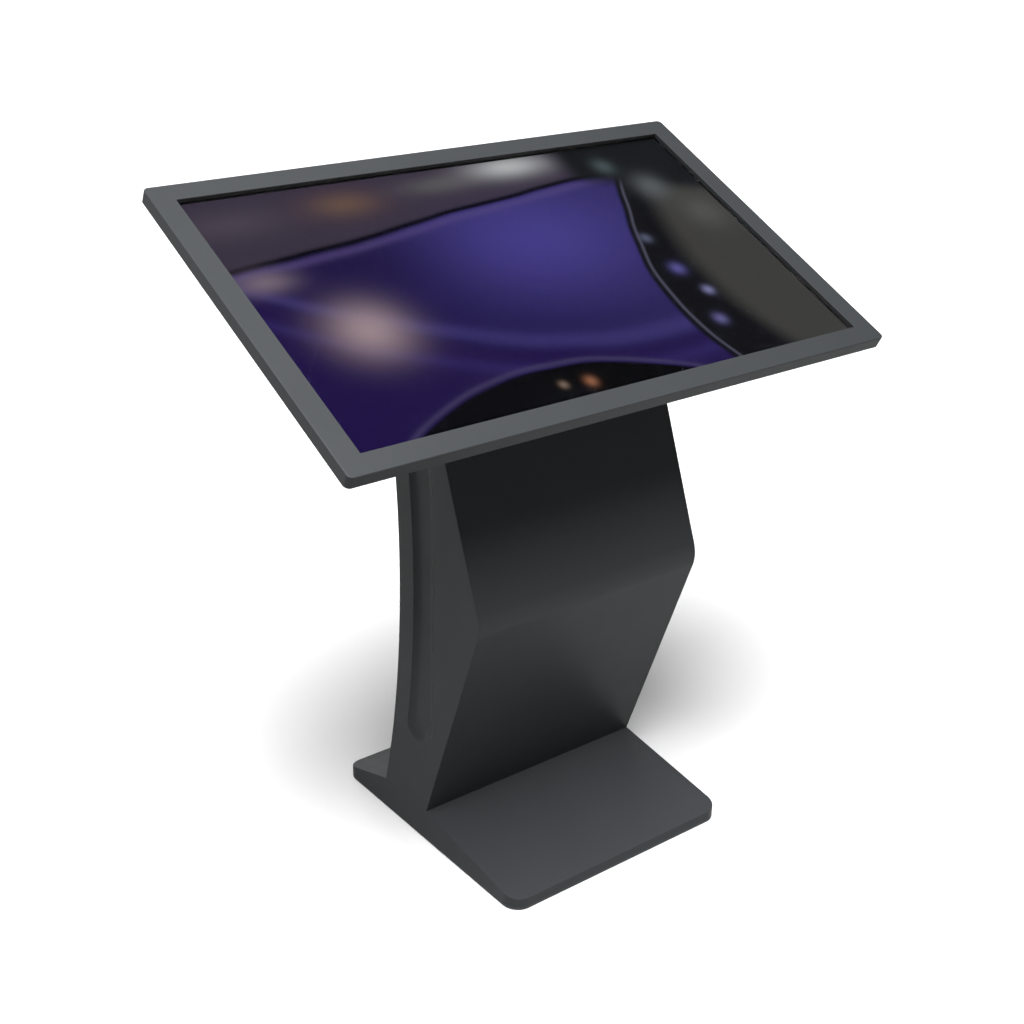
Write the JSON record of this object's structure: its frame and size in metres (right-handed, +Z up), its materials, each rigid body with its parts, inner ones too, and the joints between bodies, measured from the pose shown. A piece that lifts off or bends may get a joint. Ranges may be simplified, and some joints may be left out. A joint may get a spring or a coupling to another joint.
{
  "type": "touchscreen kiosk",
  "caption": "Free-standing touchscreen kiosk: tilted landscape display head on a bent sheet-metal column with a wedge foot and rear service door.",
  "frame": {"origin": "on the floor under the centre of the foot, at the middle rubber pad", "axes": "+X to the right of a person facing the screen, +Y towards the back, +Z up"},
  "size_m": [1.021, 0.5514, 1.0728],
  "materials": {
    "charcoal_paint": "satin powder coat, charcoal",
    "foot_steel": "matt black paint on plate",
    "frame_steel": "grey primer",
    "zinc_steel": "zinc plated",
    "chrome": "bright plated",
    "black_plastic": "fine texture",
    "grey_plastic": "plain",
    "sensor_plastic": "infrared-clear black",
    "rubber": "matt",
    "glass": "toughened, clear",
    "display": "lit picture, abstract violet",
    "circuit_board": "solder mask"
  },
  "bodies": {
    "kiosk": {"foot_pads": "rubber", "foot_plate": "foot_steel", "foot_ballast": "foot_steel", "foot_cover": "charcoal_paint", "foot_screws": "zinc_steel", "cable_grommet": "rubber", "side_panel_left": "charcoal_paint", "side_panel_right": "charcoal_paint", "flute_pan_left": "charcoal_paint", "flute_pan_right": "charcoal_paint", "stop_flanges": "charcoal_paint", "weld_flanges": "charcoal_paint", "front_skin": "charcoal_paint", "back_panel_upper": "charcoal_paint", "back_panel_lower": "charcoal_paint", "frame_uprights": "frame_steel", "frame_crossbars": "frame_steel", "equipment_shelf": "frame_steel", "media_player": "black_plastic", "power_strip": "black_plastic", "cable_duct": "grey_plastic", "neck_plate": "frame_steel", "neck_bolts": "zinc_steel", "power_inlet": "black_plastic", "inlet_pins": "chrome", "hinge_brackets": "zinc_steel", "hinge_pins": "zinc_steel", "door_gasket": "rubber", "front_bezel": "charcoal_paint", "touch_sensor_frame": "sensor_plastic", "cover_glass": "glass", "panel_gasket": "rubber", "display_panel": "display", "backlight_tray": "zinc_steel", "panel_brackets": "zinc_steel", "panel_screws": "zinc_steel", "mounting_frame": "frame_steel", "rear_cover": "charcoal_paint", "rear_flange": "charcoal_paint", "rear_cover_screws": "zinc_steel", "speaker_left": "black_plastic", "speaker_right": "black_plastic", "fan_left": "black_plastic", "fan_right": "black_plastic", "fan_guards": "zinc_steel", "driver_board": "circuit_board", "power_supply": "zinc_steel", "port_panel": "frame_steel", "key_bracket": "frame_steel"},
    "door": {"service_door": "charcoal_paint", "hinge_leaves": "zinc_steel"},
    "lock": {"lock_barrel": "chrome", "lock_cam": "zinc_steel"},
    "rocker": {"rocker_switch": "black_plastic"},
    "rotor_left": {"fan_rotor_left": "black_plastic"},
    "rotor_right": {"fan_rotor_right": "black_plastic"},
    "power_key": {"key_power": "black_plastic"},
    "up_key": {"key_up": "black_plastic"},
    "down_key": {"key_down": "black_plastic"}
  },
  "joints": [
    {"name": "door_hinge", "type": "hinge", "parent": "kiosk", "child": "door", "pos_m": [0.22, 0.08785, 0.445], "axis": [0, 0, -1], "range_deg": [0, 110]},
    {"name": "lock_turn", "type": "hinge", "parent": "door", "child": "lock", "pos_m": [-0.1805, 0.07, 0.445], "axis": [0, 1, 0], "range_deg": [0, 90]},
    {"name": "rocker_tilt", "type": "hinge", "parent": "kiosk", "child": "rocker", "pos_m": [0.128, 0.09814, 0.11893], "axis": [-1, 0, 0], "range_deg": [0, 14]},
    {"name": "fan_spin_left", "type": "hinge", "parent": "kiosk", "child": "rotor_left", "pos_m": [-0.265, 0.15929, 0.94143], "axis": [0, -0.4462, 0.8949], "continuous": true},
    {"name": "fan_spin_right", "type": "hinge", "parent": "kiosk", "child": "rotor_right", "pos_m": [0.265, 0.15929, 0.94143], "axis": [0, -0.4462, 0.8949], "continuous": true},
    {"name": "power_key_press", "type": "slide", "parent": "kiosk", "child": "power_key", "axis": [0, 0.8949, 0.4462], "range_m": [0, 0.0012], "stiffness_N_per_m": 500},
    {"name": "up_key_press", "type": "slide", "parent": "kiosk", "child": "up_key", "axis": [0, 0.8949, 0.4462], "range_m": [0, 0.0012], "stiffness_N_per_m": 500},
    {"name": "down_key_press", "type": "slide", "parent": "kiosk", "child": "down_key", "axis": [0, 0.8949, 0.4462], "range_m": [0, 0.0012], "stiffness_N_per_m": 500}
  ]
}
